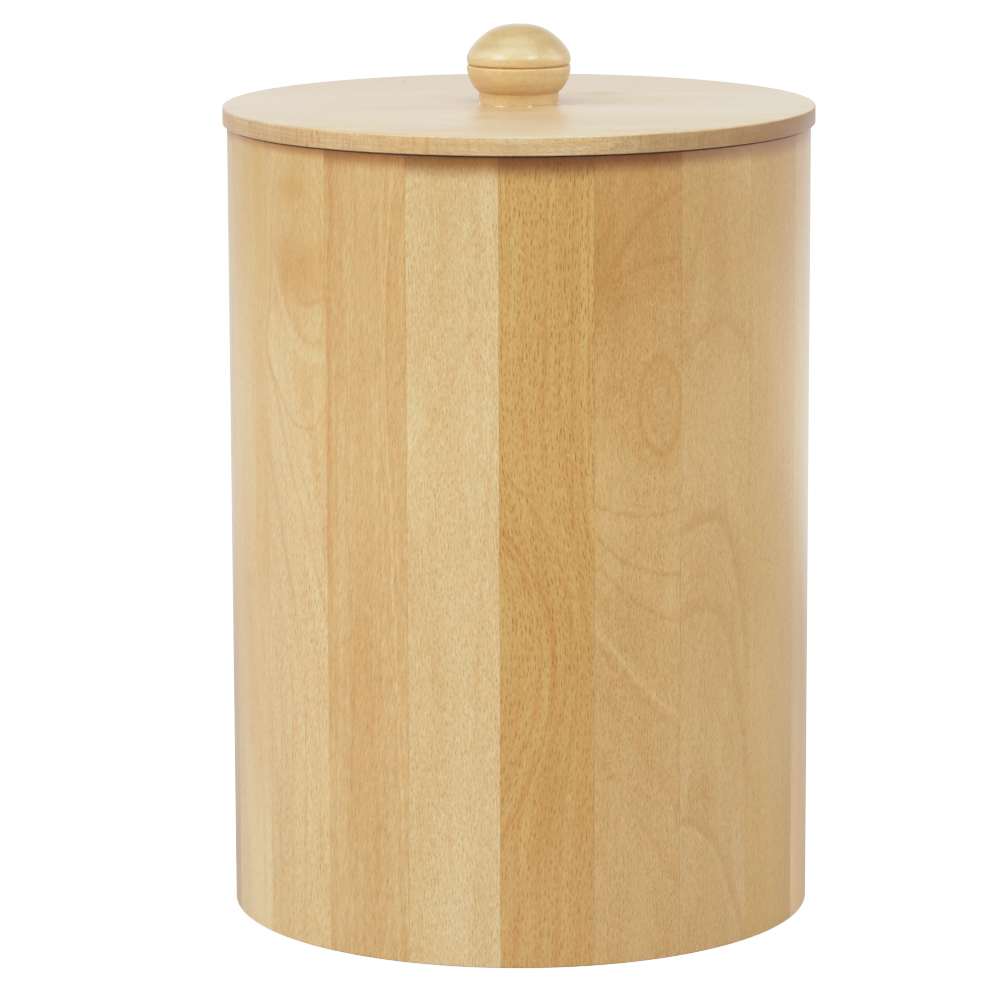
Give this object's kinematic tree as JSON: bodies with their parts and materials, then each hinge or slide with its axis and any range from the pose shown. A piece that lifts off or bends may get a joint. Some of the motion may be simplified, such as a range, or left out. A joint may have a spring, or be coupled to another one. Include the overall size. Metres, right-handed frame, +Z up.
{
  "type": "bathroom waste bin",
  "caption": "Round wooden waste bin built from glued vertical staves, with a flat loose lid and a turned knob.",
  "frame": {"origin": "centre of the foot, on the surface the bin stands on", "axes": "+Z up along the bin's axis, -Y towards the front, +X to the right as seen from the front"},
  "size_m": [0.2, 0.2, 0.3011],
  "materials": {
    "beech": "satin clear lacquer",
    "beech_lid": "satin clear lacquer",
    "beech_plywood": "sanded and clear lacquered",
    "turned_beech": "gloss clear lacquer",
    "zinc_plated_steel": "zinc plated"
  },
  "bodies": {
    "bin": {"stave_01": "beech", "stave_02": "beech", "stave_03": "beech", "stave_04": "beech", "stave_05": "beech", "stave_06": "beech", "stave_07": "beech", "stave_08": "beech", "stave_09": "beech", "stave_10": "beech", "stave_11": "beech", "stave_12": "beech", "stave_13": "beech", "stave_14": "beech", "stave_15": "beech", "stave_16": "beech", "stave_17": "beech", "stave_18": "beech", "stave_19": "beech", "stave_20": "beech", "base_panel": "beech_plywood"},
    "lid": {"lid_board_front": "beech_lid", "lid_board_middle": "beech_lid", "lid_board_rear": "beech_lid", "lid_locating_disc": "beech_plywood", "knob": "turned_beech", "knob_screw": "zinc_plated_steel"}
  },
  "joints": [
    {"name": "lid_lift", "type": "slide", "parent": "bin", "child": "lid", "axis": [0, 0, 1], "range_m": [0, 0.2]}
  ]
}
